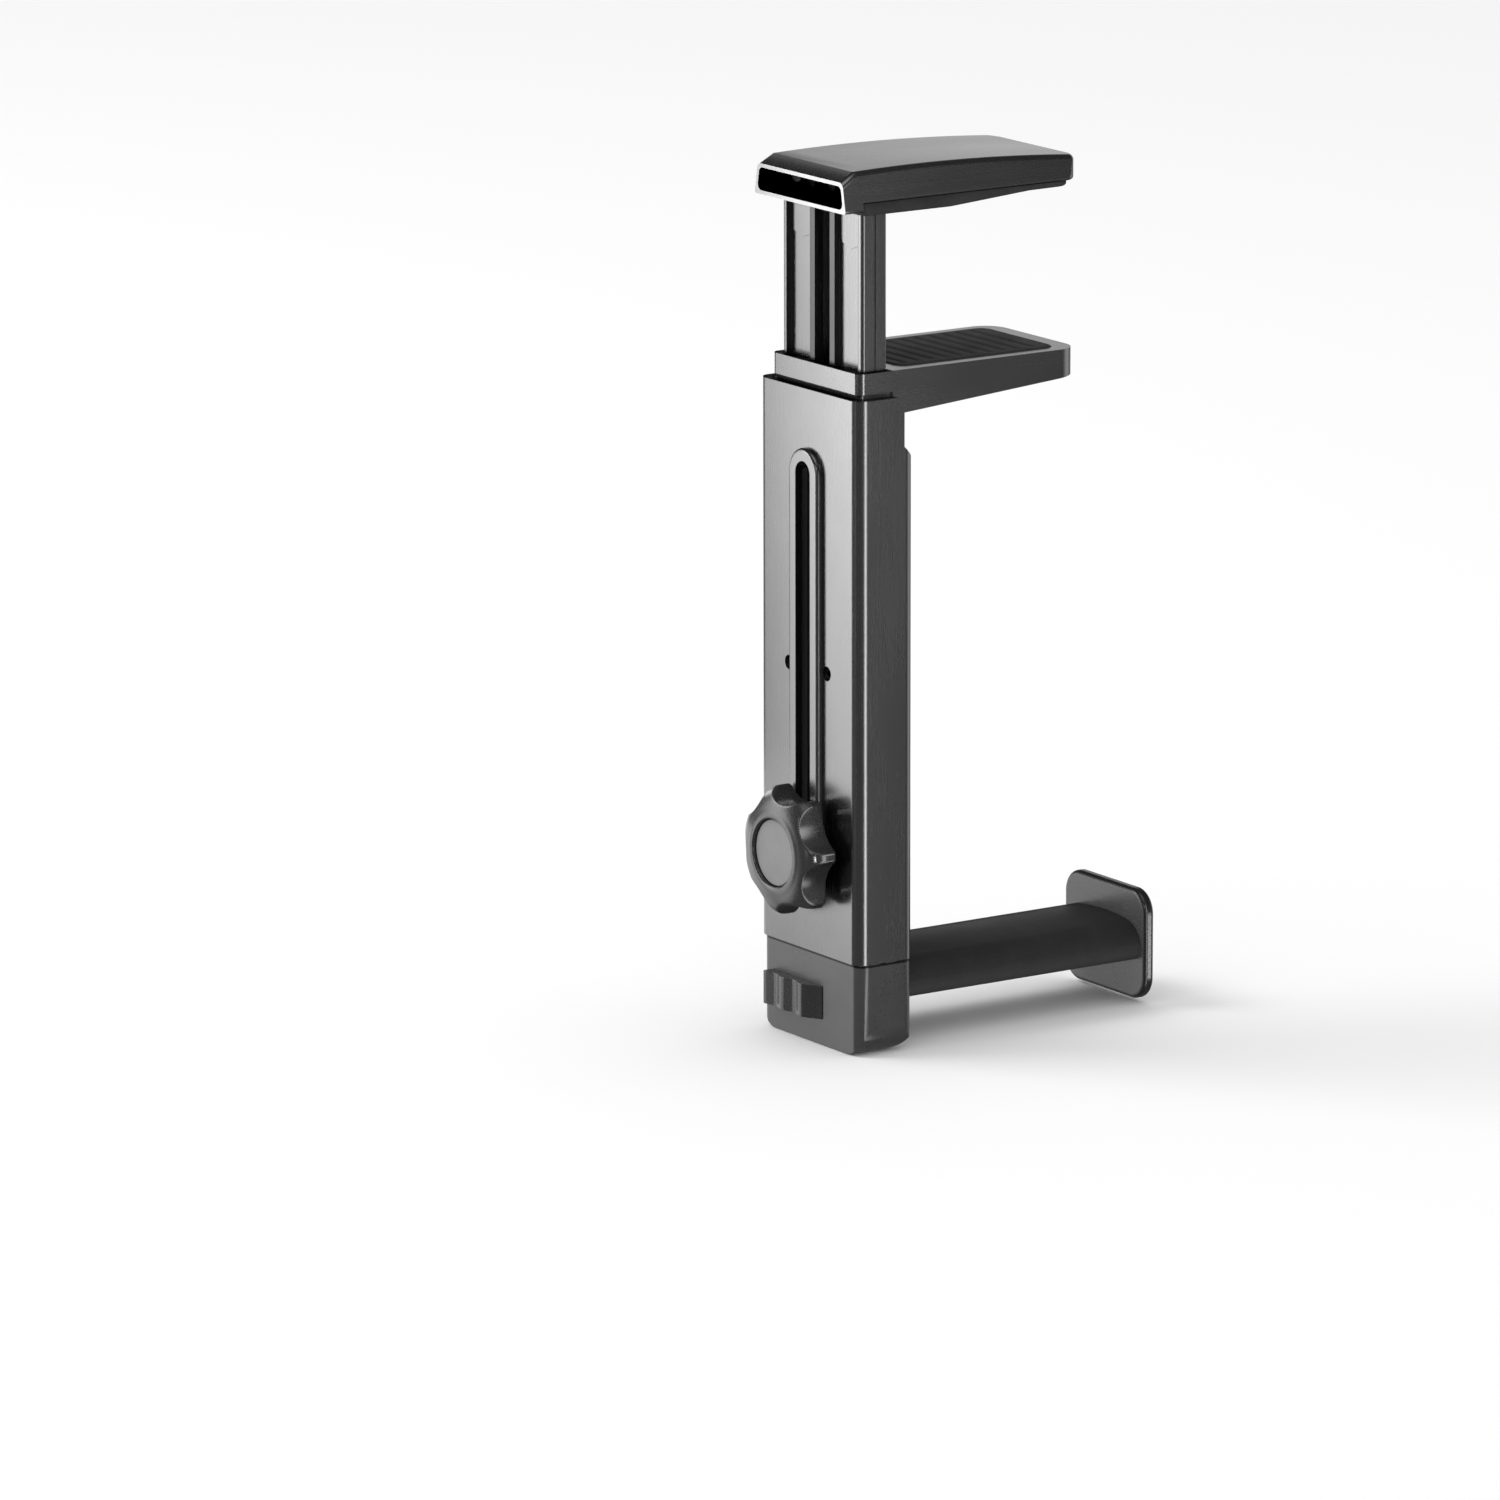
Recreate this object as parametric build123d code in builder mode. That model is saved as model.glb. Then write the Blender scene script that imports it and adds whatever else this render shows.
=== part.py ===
from build123d import *
from math import cos, pi, radians, sin
import os

# Under-desk headphone hook on an adjustable desk clamp, in millimetres.
# X is the width, +Y points under the desk, +Z is up. The origin is the middle of the desk's lower front
# edge: the lower pad's top is at z = 0 and the rail's back face is at y = 0.

# ---- Driving dimensions ----

gap = 28.2                      # between the two pads
fit = 0.05                      # clearance of parts that slide or drop in
press = 0.02                    # clearance that stands for a driven or threaded fit

body_width = 32.0
body_depth = 12.55
body_back = 4.0
body_top = -4.8
body_length = 103.5
body_corner = 2.2
front_wall = 1.5
back_wall = 1.6
side_wall = 1.95
notch_height = 9.1              # back wall cut away for the lower jaw
notch_back = 1.6                # back edge of the side walls above the notch
notch_round = 1.8
arm_notch_height = 20.4         # back wall cut away for the folded arm
arm_notch_half = 12.0

rail_half = 12.75
rail_depth = 5.4
rail_bottom = -93.9
groove_inner = 3.95
groove_outer = 11.45
groove_depth = 1.1
tee_opening_half = 2.4
tee_half = 4.6
tee_front = -3.5
tee_back = -1.2
pocket_inner = 6.2
pocket_outer = 11.5
pocket_front = -3.2
side_line_width = 0.5
side_line_depth = 0.25

collar_half = 14.0
collar_front = -7.0
collar_back = 2.35
collar_top = -0.25
collar_bottom = -15.0
shadow_groove = 0.7
shadow_depth = 0.5
shadow_end = 0.4
collar_corner = 1.4
plate_tip = 41.4
plate_root_bottom = -8.3
plate_tip_bottom = -5.2
jaw_corner = 4.5
tongue_half = 10.0
tongue_bottom = -29.0
pad_depth = 1.3
pad_half = 11.5
pad_start = 3.5
pad_end = 38.0
pad_corner = 2.5
plate_screw_x = 7.0
plate_screw_z = -23.0
plate_screw_radius = 1.25
plate_screw_head = 2.3
plate_screw_length = 3.2

slot_top = -20.2                # centre of the slot's upper round end
slot_bottom = -93.0
slot_half = 2.27
liner_shank_half = 3.45
liner_rim_half = 4.65
liner_rim = 1.15
liner_edge = 0.6
guide_top = -15.2
guide_bottom = -100.9
guide_half = 13.6
guide_thickness = 1.5
guide_screw_x = 6.1
guide_screw_z = -56.0
guide_screw_radius = 1.3
guide_screw_sink = 0.6
guide_screw_length = 2.3

upper_half_low = 14.6
upper_half_high = 13.25
rim_front = -10.2
rim_bottom = gap + 0.75
rim_top = gap + 6.35
crease_y = -7.4
crease_z = gap + 8.0
crest_y = 9.0
crest_z = gap + 8.25
tip_top = gap + 6.7
tip_bottom = gap + 2.3
lip_back = -6.2
sole_root = gap + 2.2
rim_wall = 0.7
rim_corner = 1.1
jaw_edge = 1.1
jaw_low_edge = 0.5
cavity_end = 27.0
cavity_low = gap + 3.0
cavity_high = gap + 7.1
upper_pad_half = 14.2
upper_pad_flat_end = 13.0
upper_pad_ramp_end = 30.0
upper_pad_ramp = 1.25
upper_pad_end = 39.5
keeper_tip = 21.3
keeper_shoulder = 22.6
keeper_thickness = 0.15
top_screw_z = gap + 5.0
top_screw_radius = 1.0
top_screw_head = 1.75
top_screw_head_height = 1.3
top_screw_length = 10.5

knob_z = -89.3
bolt_radius = 2.0
bolt_head_half = 4.4
bolt_head_front = -3.35
bolt_head_back = -1.4
bolt_tip = -14.3
washer_radius = 6.5
washer_thickness = 0.6
knob_radius = 12.1
knob_base = -10.4
knob_face = -16.4
knob_shoulder = -12.4
knob_face_radius = 8.2
lobes = 7
first_lobe = 4.0
flute_radius = 6.8
flute_floor = 9.5
disc_radius = 6.15
disc_recess = 0.6
disc_seat_radius = 6.3
disc_thickness = 1.4
insert_radius = 3.6
insert_depth = 4.2

cap_height = 16.9
cap_joint = 0.25
cap_inset = 0.5                 # the cap's front lies behind the body's front
cap_half = 15.8
cap_pocket_half = 13.0
cap_pocket_front = -6.7
cap_pocket_back = 2.3
cap_floor = 2.5
cap_heel = 5.0
cap_foot = 4.5
cap_tongue_back = -5.5
cap_tongue_top = -101.3
dowel_radius = 0.5
dowel_x = 14.9
dowel_y = -2.2
dowel_in_cap = 4.8
dowel_in_body = 9.8
carrier_screw_x = 8.0
carrier_screw_y = -1.0
carrier_screw_radius = 1.0
carrier_screw_head = 1.8
carrier_screw_length = 5.0

arm_half = 11.6
arm_top = -109.6
arm_bottom = -117.4
arm_end = 57.4
arm_shoulder = 4.4
arm_crown = 0.5
arm_foot = 2.8
pivot_y = 1.8
eye_radius = 2.6
pin_radius = 1.2
bush_radius = 1.75
bush_length = 3.0
cheek_half = 12.9
carrier_slot_half = 11.72
carrier_front = -3.4
carrier_cheek_back = 3.6
carrier_top = -108.6
carrier_floor_top = -118.65
stop_gap = 0.05

end_plate_half = 12.8
end_plate_top = -104.0
end_plate_bottom = -124.9
end_plate_thickness = 2.3
end_plate_corner = 4.5
end_plate_edge = 0.8
end_screw_x = 5.0
end_screw_radius = 1.25
end_screw_head = 2.4
end_screw_length = 10.0

slider_low_x = -12.2
slider_high_x = 4.0
slider_low_z = -120.6
slider_high_z = -114.4
slider_height = 2.2
slider_end_height = 2.1
slider_end_rise = 0.15
# Finger grip in section: (distance from the left end, depth below the top).
slider_section = ((0.9, 0.2), (2.0, 0.5), (3.0, 0.7), (4.5, 0.38), (5.9, 0.0), (7.7, 0.38), (9.2, 0.7),
                  (10.7, 0.38), (12.2, 0.0), (14.0, 0.8), (15.3, 1.6))
stem_low_x = -6.3
stem_high_x = -0.7
stem_inset_z = 1.2
latch_travel = 3.5
latch_low_x = -8.0
latch_high_x = 6.0
latch_front = -6.6
latch_back = -5.1
latch_low_z = -120.0
latch_high_z = -113.8
latch_screw_radius = 0.8
latch_screw_head = 1.4
latch_screw_length = 3.3
nose_low_x = 0.5
nose_high_x = 4.5
nose_low_z = -117.4
nose_high_z = -114.8
nose_gap = 0.3
spring_radius = 1.0
spring_wire = 0.22
spring_coils = 6

# ---- Derived positions ----

body_front = body_back - body_depth
body_bottom = body_top - body_length
bore_half = body_width / 2 - side_wall
bore_front = body_front + front_wall
bore_back = body_back - back_wall
notch_bottom = body_top - notch_height
rim_face = body_front - liner_rim
cap_top = body_bottom - cap_joint
cap_bottom = cap_top - cap_height
cap_front = body_front + cap_inset
cap_pocket_floor = cap_bottom + cap_floor
pivot_z = arm_top - eye_radius
root_face = pivot_y - eye_radius
stop_face = root_face - stop_gap
rail_front = -rail_depth
groove_floor = rail_front + groove_depth
groove_middle = (groove_inner + groove_outer) / 2
keeper_back = groove_floor - press
keeper_front = keeper_back - keeper_thickness
cavity_half = upper_half_high - 0.35
side_lean = (upper_half_low - upper_half_high) / (crest_z - rim_bottom)
mouth_low = upper_half_low - side_lean * rim_wall - rim_wall
mouth_high = upper_half_low - side_lean * (rim_top - rim_wall - rim_bottom) - rim_wall
latch_z = (slider_low_z + slider_high_z) / 2
arm_middle = (arm_top + arm_bottom) / 2

os.makedirs("parts", exist_ok=True)


# ---- Helpers ----

def box_between(low, high, mode=Mode.ADD):
    """Add or cut a box between two corners in the part being built."""
    middle = [(a + b) / 2 for a, b in zip(low, high)]
    with Locations(tuple(middle)):
        Box(*[b - a for a, b in zip(low, high)], mode=mode)


def front_plane(y):
    """Plane whose sketch axes are X and Z and whose normal points to the front (-Y)."""
    return Plane.XZ.offset(-y)


def rod(start, direction, radius, length, mode=Mode.ADD):
    """Add or cut a round rod that leaves start along direction."""
    with Locations(Plane(origin=start, z_dir=direction)):
        Cylinder(radius, length, align=(Align.CENTER, Align.CENTER, Align.MIN), mode=mode)


def countersunk_head(start, direction, head_radius, shank_radius, mode=Mode.ADD):
    """Add or cut a 45 degree countersunk head that narrows along direction."""
    with Locations(Plane(origin=start, z_dir=direction)):
        Cone(head_radius, shank_radius, head_radius - shank_radius,
             align=(Align.CENTER, Align.CENTER, Align.MIN), mode=mode)


def hex_socket(start, direction, radius, depth):
    """Cut a hexagon key socket into a screw head."""
    with BuildSketch(Plane(origin=start, z_dir=direction), mode=Mode.PRIVATE) as hexagon:
        RegularPolygon(radius, 6)
    extrude(hexagon.sketch, amount=depth, mode=Mode.SUBTRACT)


def countersunk_screw(start, direction, head_radius, shank_radius, length):
    """Add a countersunk screw whose head face is at start."""
    countersunk_head(start, direction, head_radius, shank_radius)
    rod(start, direction, shank_radius, length)
    hex_socket(start, direction, shank_radius * 0.75, head_radius - shank_radius)


def finish(piece, name):
    """Label a finished piece and write its STEP file."""
    piece.part.label = name
    export_step(piece.part, f"parts/{name}.step")


# ---- Main body: rectangular extrusion with a slotted front wall ----

with BuildPart() as main_body:
    with BuildSketch(Plane.XY.offset(body_bottom)):
        with Locations((0, (body_front + body_back) / 2)):
            RectangleRounded(body_width, body_depth, body_corner)
        with Locations((0, (bore_front + bore_back) / 2)):
            Rectangle(2 * bore_half, bore_back - bore_front, mode=Mode.SUBTRACT)
    extrude(amount=body_length)
    # Window for the slot liner, and the two guide screw holes beside it.
    with BuildSketch(front_plane(body_front)):
        with Locations((0, (slot_top + slot_bottom) / 2)):
            SlotCenterToCenter(slot_top - slot_bottom, 2 * (liner_shank_half + fit), rotation=90)
        with Locations((-guide_screw_x, guide_screw_z), (guide_screw_x, guide_screw_z)):
            Circle(guide_screw_radius + fit)
    extrude(amount=-front_wall, mode=Mode.SUBTRACT)
    # Top of the back wall cut away for the lower jaw, ending in a 45 degree ramp.
    with BuildSketch(Plane.YZ):
        with BuildLine():
            Polyline((notch_back, body_top + 1), (notch_back, notch_bottom),
                     (body_back + 1, notch_bottom - body_back - 1 + notch_back),
                     (body_back + 1, body_top + 1), close=True)
        make_face()
    extrude(amount=body_width, both=True, mode=Mode.SUBTRACT)
    top_back_edges = (main_body.edges().filter_by(Axis.X)
                      .filter_by_position(Axis.Z, body_top - 0.1, body_top + 0.1)
                      .filter_by_position(Axis.Y, notch_back - 0.1, notch_back + 0.1))
    fillet(top_back_edges, notch_round)
    # Opening in the back wall that the folded arm turns into.
    box_between((-arm_notch_half, bore_back - 1, body_bottom - 1),
                (arm_notch_half, body_back + 1, body_bottom + arm_notch_height), Mode.SUBTRACT)
    for side in (-1, 1):
        rod((side * dowel_x, dowel_y, body_bottom), (0, 0, 1), dowel_radius + press, dowel_in_body + 0.2,
            Mode.SUBTRACT)
        seat = (side * plate_screw_x, body_back, plate_screw_z)
        countersunk_head(seat, (0, -1, 0), plate_screw_head + 0.1, plate_screw_radius + press, Mode.SUBTRACT)
        rod(seat, (0, -1, 0), plate_screw_radius + press, back_wall + 0.1, Mode.SUBTRACT)
finish(main_body, "main_body")


# ---- Lower jaw: collar round the rail, with a tapering plate under the desk ----

with BuildPart() as lower_jaw:
    with BuildSketch(Plane.XY.offset(collar_bottom)):
        with Locations((0, (collar_front + collar_back) / 2)):
            RectangleRounded(2 * collar_half, collar_back - collar_front, collar_corner)
    extrude(amount=collar_top - collar_bottom)
    # Shadow groove just above the body's top.
    with BuildSketch(Plane.XY.offset(body_top)):
        with Locations((0, (collar_front - 1 + shadow_end) / 2)):
            Rectangle(2 * collar_half + 1, shadow_end - collar_front + 1)
        with Locations((0, (collar_front + collar_back) / 2)):
            RectangleRounded(2 * (collar_half - shadow_depth), collar_back - collar_front - 2 * shadow_depth,
                             collar_corner - shadow_depth, mode=Mode.SUBTRACT)
    extrude(amount=shadow_groove, mode=Mode.SUBTRACT)
    # Plate, tapered in side view and rounded at its far corners.
    with BuildSketch(Plane.YZ.offset(-collar_half)):
        with BuildLine():
            Polyline((collar_back - 1.2, collar_top), (plate_tip, collar_top), (plate_tip, plate_tip_bottom),
                     (collar_back - 1.2, plate_root_bottom), close=True)
        make_face()
    extrude(amount=2 * collar_half)
    tip_edges = (lower_jaw.edges().filter_by(Axis.Z)
                 .filter_by_position(Axis.Y, plate_tip - 0.1, plate_tip + 0.1))
    fillet(tip_edges, jaw_corner)
    # Tongue that is screwed to the body's back wall from behind.
    box_between((-tongue_half, 2 * fit, tongue_bottom), (tongue_half, collar_back, collar_bottom + 1))
    # Channel for the rail.
    box_between((-rail_half - fit, rail_front - fit, tongue_bottom - 1),
                (rail_half + fit, fit, collar_top + 1), Mode.SUBTRACT)
    # Recess for the pad.
    with BuildSketch(Plane.XY.offset(collar_top)):
        with Locations((0, (pad_start + pad_end) / 2)):
            RectangleRounded(2 * pad_half, pad_end - pad_start, pad_corner)
    extrude(amount=-pad_depth, mode=Mode.SUBTRACT)
    for side in (-1, 1):
        rod((side * plate_screw_x, collar_back, plate_screw_z), (0, -1, 0), plate_screw_radius + press, 2.0,
            Mode.SUBTRACT)
finish(lower_jaw, "lower_jaw")

with BuildPart() as lower_jaw_pad:
    with BuildSketch(Plane.XY.offset(collar_top - pad_depth + fit)):
        with Locations((0, (pad_start + pad_end) / 2)):
            RectangleRounded(2 * (pad_half - fit), pad_end - pad_start - 2 * fit, pad_corner - fit)
    extrude(amount=pad_depth - fit - collar_top)
    fillet(lower_jaw_pad.faces().sort_by(Axis.Z)[-1].edges(), 0.3)
finish(lower_jaw_pad, "lower_jaw_pad")

with BuildPart() as lower_jaw_screws:
    for side in (-1, 1):
        countersunk_screw((side * plate_screw_x, body_back - fit, plate_screw_z), (0, -1, 0),
                          plate_screw_head, plate_screw_radius, plate_screw_length)
finish(lower_jaw_screws, "lower_jaw_screws")


# ---- Slot liner: raised rim round the slot, with a shank in the body's window ----

with BuildPart() as slot_liner:
    with BuildSketch(front_plane(body_front)):
        with Locations((0, (slot_top + slot_bottom) / 2)):
            SlotCenterToCenter(slot_top - slot_bottom, 2 * liner_rim_half, rotation=90)
    extrude(amount=liner_rim)
    fillet(slot_liner.faces().sort_by(Axis.Y)[0].edges(), liner_edge)
    with BuildSketch(front_plane(body_front)):
        with Locations((0, (slot_top + slot_bottom) / 2)):
            SlotCenterToCenter(slot_top - slot_bottom, 2 * liner_shank_half, rotation=90)
    extrude(amount=-front_wall)
    with BuildSketch(front_plane(rim_face - 1)):
        with Locations((0, (slot_top + slot_bottom) / 2)):
            SlotCenterToCenter(slot_top - slot_bottom, 2 * slot_half, rotation=90)
    extrude(amount=-(liner_rim + front_wall + 2), mode=Mode.SUBTRACT)
finish(slot_liner, "slot_liner")


# ---- Guide plate: plastic wear plate between the front wall and the rail ----

with BuildPart() as guide_plate:
    box_between((-guide_half, bore_front + fit, guide_bottom),
                (guide_half, bore_front + fit + guide_thickness, guide_top))
    with BuildSketch(front_plane(bore_front)):
        with Locations((0, (slot_top + slot_bottom) / 2)):
            SlotCenterToCenter(slot_top - slot_bottom, 2 * (slot_half + fit), rotation=90)
        with Locations((-guide_screw_x, guide_screw_z), (guide_screw_x, guide_screw_z)):
            Circle(guide_screw_radius + press)
    extrude(amount=-2, mode=Mode.SUBTRACT)
finish(guide_plate, "guide_plate")

with BuildPart() as guide_screws:
    for side in (-1, 1):
        head = (side * guide_screw_x, body_front + guide_screw_sink, guide_screw_z)
        rod(head, (0, 1, 0), guide_screw_radius, guide_screw_length)
        hex_socket(head, (0, 1, 0), guide_screw_radius * 0.6, 0.8)
finish(guide_screws, "guide_screws")


# ---- Rail: grooved extrusion with a T slot ----

with BuildPart() as rail:
    with BuildSketch(Plane.XY.offset(rail_bottom)):
        with Locations((0, rail_front / 2)):
            RectangleRounded(2 * rail_half, rail_depth, 0.6)
        with Locations((0, (rail_front + tee_front) / 2)):
            Rectangle(2 * tee_opening_half, tee_front - rail_front + 0.1, mode=Mode.SUBTRACT)
        with Locations((0, (tee_front + tee_back) / 2)):
            Rectangle(2 * tee_half, tee_back - tee_front, mode=Mode.SUBTRACT)
        for side in (-1, 1):
            with Locations((side * groove_middle, (rail_front + groove_floor) / 2)):
                Rectangle(groove_outer - groove_inner, groove_depth + 0.001, mode=Mode.SUBTRACT)
            with Locations((side * (pocket_inner + pocket_outer) / 2, (pocket_front + tee_back) / 2)):
                Rectangle(pocket_outer - pocket_inner, tee_back - pocket_front, mode=Mode.SUBTRACT)
            with Locations((side * rail_half, rail_front / 2)):
                Rectangle(2 * side_line_depth, side_line_width, mode=Mode.SUBTRACT)
    extrude(amount=cavity_high - 0.2 - rail_bottom)
    for side in (-1, 1):
        rod((side * groove_middle, rail_front, top_screw_z), (0, 1, 0), top_screw_radius + press, rail_depth,
            Mode.SUBTRACT)
finish(rail, "rail")

with BuildPart() as rail_glides:
    for side in (-1, 1):
        inner = min(side * pocket_inner, side * pocket_outer) + fit
        outer = max(side * pocket_inner, side * pocket_outer) - fit
        box_between((inner, pocket_front + fit, rail_bottom), (outer, tee_back - fit, rail_bottom + 6))
        foot_inner = min(side * 5.2, side * (rail_half - 0.1))
        foot_outer = max(side * 5.2, side * (rail_half - 0.1))
        box_between((foot_inner, rail_front + fit, rail_bottom - 1.0), (foot_outer, -fit, rail_bottom))
    fillet(rail_glides.edges().filter_by(Axis.X).group_by(Axis.Z)[0], 0.4)
finish(rail_glides, "rail_glides")

with BuildPart() as rail_keepers:
    with BuildSketch(front_plane(keeper_back)):
        for side in (-1, 1):
            half = (groove_outer - groove_inner) / 2 - fit
            with BuildLine():
                Polyline((side * groove_middle - half, cavity_high - 0.3),
                         (side * groove_middle - half, keeper_shoulder),
                         (side * groove_middle, keeper_tip),
                         (side * groove_middle + half, keeper_shoulder),
                         (side * groove_middle + half, cavity_high - 0.3), close=True)
            make_face()
    extrude(amount=keeper_thickness)
    for side in (-1, 1):
        rod((side * groove_middle, rail_front, top_screw_z), (0, 1, 0), top_screw_radius + press, 2.0,
            Mode.SUBTRACT)
finish(rail_keepers, "rail_keepers")


# ---- Upper jaw: hollow arched shell, open at its front end ----

with BuildPart() as upper_jaw:
    # Side view.
    with BuildSketch(Plane.YZ.offset(-upper_half_low)):
        with BuildLine():
            Line((rim_front, rim_bottom), (rim_front, rim_top))
            Line((rim_front, rim_top), (crease_y, crease_z))
            ThreePointArc((crease_y, crease_z), (crest_y, crest_z), (plate_tip, tip_top))
            Polyline((plate_tip, tip_top), (plate_tip, tip_bottom), (lip_back, sole_root),
                     (lip_back, rim_bottom), (rim_front, rim_bottom))
        make_face()
    extrude(amount=2 * upper_half_low)
    # End view: the sides lean in towards the top.
    with BuildSketch(front_plane(rim_front)):
        with BuildLine():
            Polyline((-upper_half_low, rim_bottom), (upper_half_low, rim_bottom),
                     (upper_half_high, crest_z + 0.1), (-upper_half_high, crest_z + 0.1), close=True)
        make_face()
    extrude(amount=rim_front - plate_tip, mode=Mode.INTERSECT)
    # Plan view: round far corners.
    with BuildSketch(Plane.XY.offset(rim_bottom - 1)):
        with Locations((0, (rim_front - jaw_corner + plate_tip) / 2)):
            RectangleRounded(2 * upper_half_low, plate_tip - rim_front + jaw_corner, jaw_corner)
    extrude(amount=crest_z - rim_bottom + 2, mode=Mode.INTERSECT)
    # Top outline rounded from the rim round the tip, and the bottom outline with a smaller radius.
    rim_gap = rim_front + 0.1
    top_outline = [edge for edge in upper_jaw.edges()
                   if edge.center().Y > rim_gap and edge.center().Z > tip_top - 0.2
                   and (abs(edge.center().X) > 5 or edge.center().Y > plate_tip - 0.1)]
    fillet(top_outline, jaw_edge)
    low_outline = [edge for edge in upper_jaw.edges()
                   if edge.center().Y > rim_gap and edge.center().Z < tip_bottom + 0.1
                   and abs(edge.center().Y - lip_back) > 0.1 and edge.length > 1
                   and (abs(edge.center().X) > 5 or edge.center().Y > plate_tip - 0.1)]
    fillet(low_outline, jaw_low_edge)
    # Opening behind the bright rim, then the taller cavity for the rail's head.
    with BuildSketch(front_plane(rim_front - 1)):
        with BuildLine():
            Polyline((-mouth_low, rim_bottom + rim_wall), (mouth_low, rim_bottom + rim_wall),
                     (mouth_high, rim_top - rim_wall), (-mouth_high, rim_top - rim_wall), close=True)
        make_face()
        fillet(vertices(), rim_corner)
    extrude(amount=rim_front - 1 - (lip_back - rim_wall), mode=Mode.SUBTRACT)
    box_between((-cavity_half, lip_back - rim_wall - 0.5, cavity_low),
                (cavity_half, cavity_end, cavity_high), Mode.SUBTRACT)
    box_between((-rail_half - fit, rail_front - fit, sole_root - 1),
                (rail_half + fit, fit, cavity_low + 1), Mode.SUBTRACT)
finish(upper_jaw, "upper_jaw")

with BuildPart() as upper_jaw_pad:
    sole_slope = (tip_bottom - sole_root) / (plate_tip - lip_back)
    pad_tip_top = sole_root + sole_slope * (upper_pad_end - lip_back) - fit
    with BuildSketch(Plane.YZ.offset(-upper_pad_half)):
        with BuildLine():
            Polyline((lip_back + fit, sole_root - fit), (upper_pad_end, pad_tip_top),
                     (upper_pad_end, gap + upper_pad_ramp + 0.1), (upper_pad_ramp_end, gap + upper_pad_ramp),
                     (upper_pad_flat_end, gap), (lip_back + fit, gap), close=True)
        make_face()
    extrude(amount=2 * upper_pad_half)
    pad_corners = (upper_jaw_pad.edges().filter_by(Axis.Z)
                   .filter_by_position(Axis.Y, upper_pad_end - 0.1, upper_pad_end + 0.1))
    fillet(pad_corners, 3.2)
    box_between((-rail_half - 0.15, rail_front - 0.15, gap - 1),
                (rail_half + 0.15, 0.15, gap + 4), Mode.SUBTRACT)
finish(upper_jaw_pad, "upper_jaw_pad")

with BuildPart() as jaw_bracket:
    box_between((-cavity_half + 0.6, 2 * fit, cavity_low + fit), (cavity_half - 0.6, 8.0, cavity_high - fit))
    for side in (-1, 1):
        rod((side * groove_middle, 0, top_screw_z), (0, 1, 0), top_screw_radius + press, 6.5, Mode.SUBTRACT)
finish(jaw_bracket, "jaw_bracket")

with BuildPart() as jaw_screws:
    for side in (-1, 1):
        seat = (side * groove_middle, keeper_front - press, top_screw_z)
        rod(seat, (0, -1, 0), top_screw_head, top_screw_head_height)
        rod(seat, (0, 1, 0), top_screw_radius, top_screw_length)
        hex_socket((seat[0], seat[1] - top_screw_head_height, top_screw_z), (0, 1, 0), 0.9, 0.8)
finish(jaw_screws, "jaw_screws")


# ---- Clamp bolt, washer and knob ----

with BuildPart() as clamp_bolt:
    box_between((-bolt_head_half, bolt_head_front, knob_z - bolt_head_half),
                (bolt_head_half, bolt_head_back, knob_z + bolt_head_half))
    fillet(clamp_bolt.edges().filter_by(Axis.Y), 0.8)
    rod((0, bolt_head_front, knob_z), (0, -1, 0), bolt_radius, bolt_head_front - bolt_tip)
    chamfer(clamp_bolt.faces().sort_by(Axis.Y)[0].edges(), 0.4)
finish(clamp_bolt, "clamp_bolt")

with BuildPart() as knob_washer:
    with BuildSketch(Plane(origin=(0, rim_face - fit, knob_z), z_dir=(0, -1, 0))):
        Circle(washer_radius)
        Circle(bolt_radius + fit, mode=Mode.SUBTRACT)
    extrude(amount=washer_thickness)
    chamfer(knob_washer.faces().sort_by(Axis.Y)[0].edges(), 0.15)
finish(knob_washer, "knob_washer")


def knob_plane(y):
    """Plane across the knob's axis, with its normal to the front."""
    return Plane(origin=(0, y, knob_z), x_dir=(1, 0, 0), z_dir=(0, -1, 0))


with BuildPart() as knob:
    # Domed blank, turned about the knob's axis.
    with BuildSketch(Plane(origin=(0, 0, knob_z), x_dir=(1, 0, 0), z_dir=(0, 0, 1))):
        with BuildLine():
            Polyline((0, knob_face), (0, knob_base), (knob_radius, knob_base), (knob_radius, knob_shoulder))
            ThreePointArc((knob_radius, knob_shoulder), (knob_radius - 1.3, knob_face + 1.35),
                          (knob_face_radius, knob_face + 0.15))
            Line((knob_face_radius, knob_face + 0.15), (disc_seat_radius, knob_face))
            Line((disc_seat_radius, knob_face), (0, knob_face))
        make_face()
    revolve(axis=Axis((0, 0, knob_z), (0, 1, 0)))
    # Flutes between the lobes.
    with BuildSketch(knob_plane(knob_base + 1)):
        for index in range(lobes):
            angle = radians(first_lobe + (index + 0.5) * 360 / lobes)
            reach = flute_floor + flute_radius
            with Locations((reach * cos(angle), reach * sin(angle))):
                Circle(flute_radius)
    extrude(amount=knob_base - knob_face + 2, mode=Mode.SUBTRACT)
    # Seats for the disc and the threaded insert.
    with BuildSketch(knob_plane(knob_face)):
        Circle(disc_seat_radius)
    extrude(amount=-disc_thickness, mode=Mode.SUBTRACT)
    with BuildSketch(knob_plane(knob_base)):
        Circle(insert_radius)
    extrude(amount=insert_depth, mode=Mode.SUBTRACT)
finish(knob, "knob")

with BuildPart() as knob_insert:
    with BuildSketch(knob_plane(knob_base)):
        Circle(insert_radius - press)
        Circle(bolt_radius + 0.04, mode=Mode.SUBTRACT)
    extrude(amount=insert_depth)
finish(knob_insert, "knob_insert")

with BuildPart() as knob_disc:
    with BuildSketch(knob_plane(knob_face + disc_recess)):
        Circle(disc_radius)
    extrude(amount=disc_recess - disc_thickness + press)
    chamfer(knob_disc.faces().sort_by(Axis.Y)[0].edges(), 0.2)
finish(knob_disc, "knob_disc")


# ---- End cap, dowels, hinge carrier and pin ----

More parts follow.
